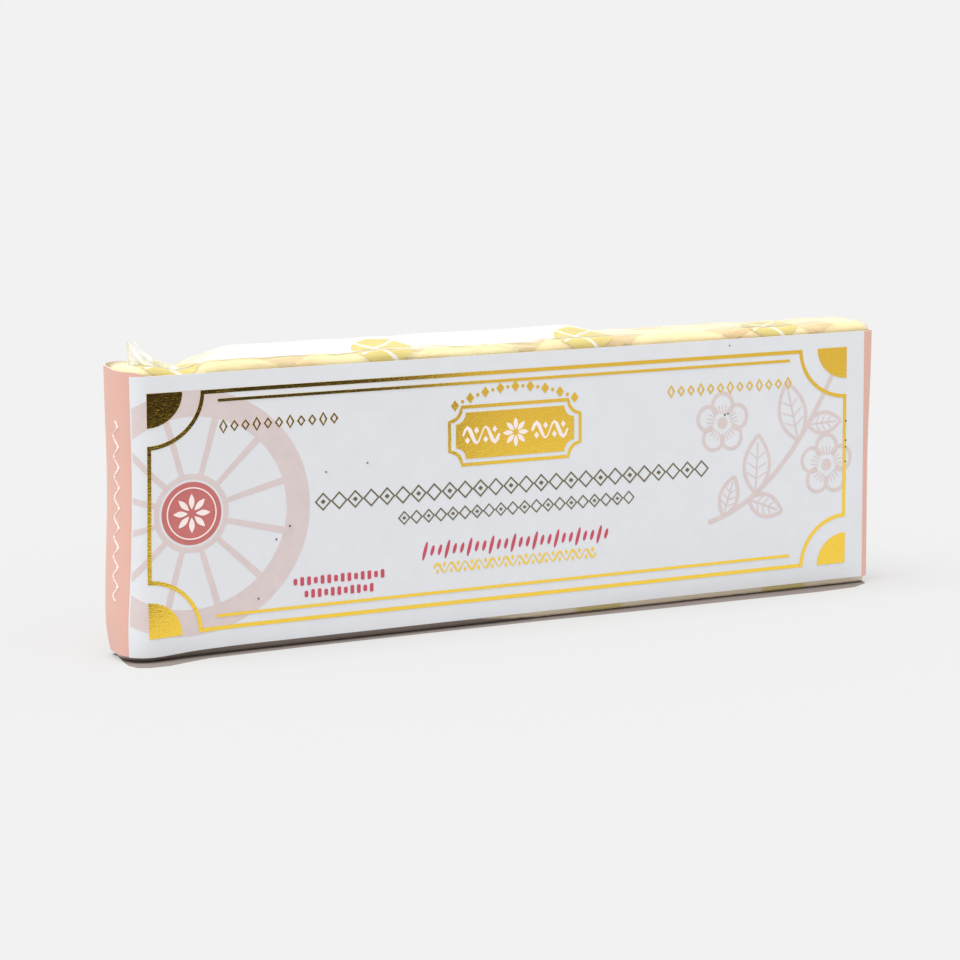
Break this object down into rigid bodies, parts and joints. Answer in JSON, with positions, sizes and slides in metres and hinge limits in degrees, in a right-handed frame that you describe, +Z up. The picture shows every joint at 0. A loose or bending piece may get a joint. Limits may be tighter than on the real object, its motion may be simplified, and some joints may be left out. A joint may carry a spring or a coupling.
{
  "type": "nougat bar",
  "caption": "Long flat bar of almond nougat in clear film, standing on its narrow edge, held by a wide white paper band with pink ends and gold foil rules.",
  "frame": {"origin": "under the middle of the whole pack's box, on the surface it stands on", "axes": "+X along the bar to the right as the front is seen, -Y out of the printed front, +Z up"},
  "size_m": [0.1832, 0.0154, 0.0642],
  "materials": {
    "clear_film": "clear glossy film with pale yellow print, over cream nougat with almonds",
    "printed_paper": "smooth coated paper, white front, salmon pink ends and back, gold foil rules",
    "nougat": "matt cream nougat with tan almonds"
  },
  "bodies": {
    "root": {"wrapped_nougat": "clear_film", "paper_band": "printed_paper"}
  },
  "joints": []
}
